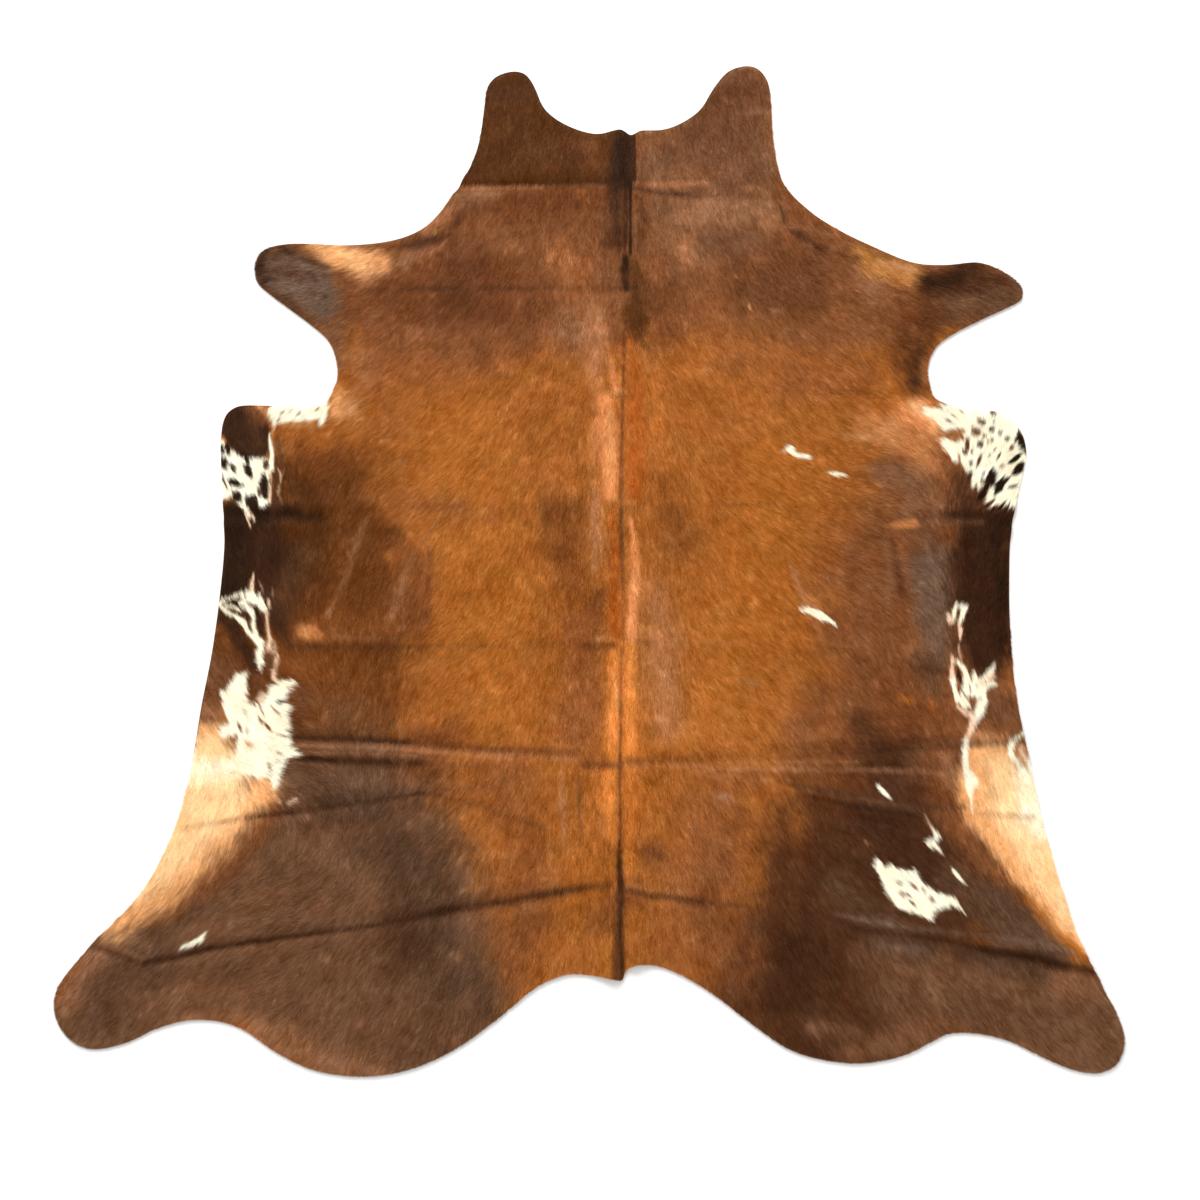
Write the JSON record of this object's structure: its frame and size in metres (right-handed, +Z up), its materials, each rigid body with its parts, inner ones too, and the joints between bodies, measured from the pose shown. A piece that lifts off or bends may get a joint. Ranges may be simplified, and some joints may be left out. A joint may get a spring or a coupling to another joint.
{
  "type": "cowhide rug",
  "caption": "Whole cowhide laid flat as a rug, hair side up, with neck, leg and rump lobes, soft storage creases and a trimmed edge.",
  "frame": {"origin": "on the floor, under the middle of the rug's length and width", "axes": "+Z up out of the hair side, +Y towards the head end, +X to the right when seen from above with the head end up"},
  "size_m": [1.955, 2.15, 0.017],
  "materials": {
    "hide": "short glossy hair, red-brown brindle with cream and black marks"
  },
  "bodies": {
    "root": {"hide": "hide"}
  },
  "joints": []
}
